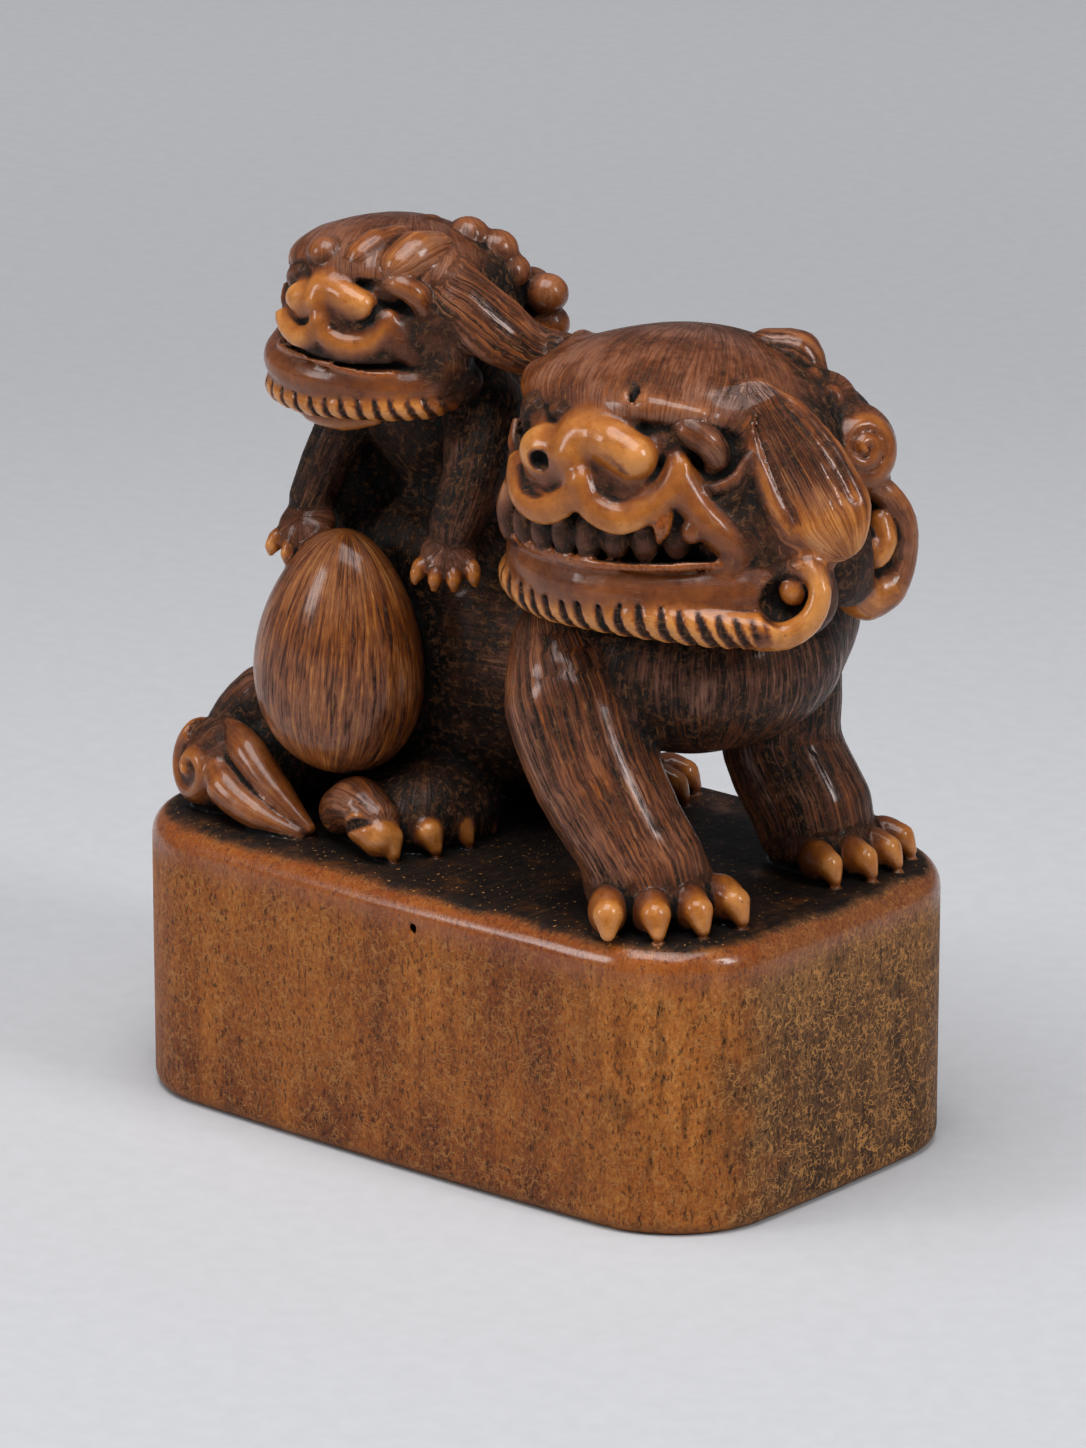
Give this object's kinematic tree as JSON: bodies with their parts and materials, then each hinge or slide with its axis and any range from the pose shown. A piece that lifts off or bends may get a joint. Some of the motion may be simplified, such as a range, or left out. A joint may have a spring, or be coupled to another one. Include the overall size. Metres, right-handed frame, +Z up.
{
  "type": "netsuke",
  "caption": "Seal-shaped netsuke: a crouching lion-dog with her cub standing on her back, carved in one with a rounded oblong base.",
  "frame": {"origin": "middle of the flat underside of the base", "axes": "+Z up, +X along the base towards the forepaws, -Y the long side that both faces turn to"},
  "size_m": [0.0361, 0.0208, 0.0398],
  "materials": {
    "stained_boxwood": "stained near-black in the recesses, worn through to red-brown and amber on the high parts, hand-polished"
  },
  "bodies": {
    "root": {"netsuke": "stained_boxwood"}
  },
  "joints": []
}
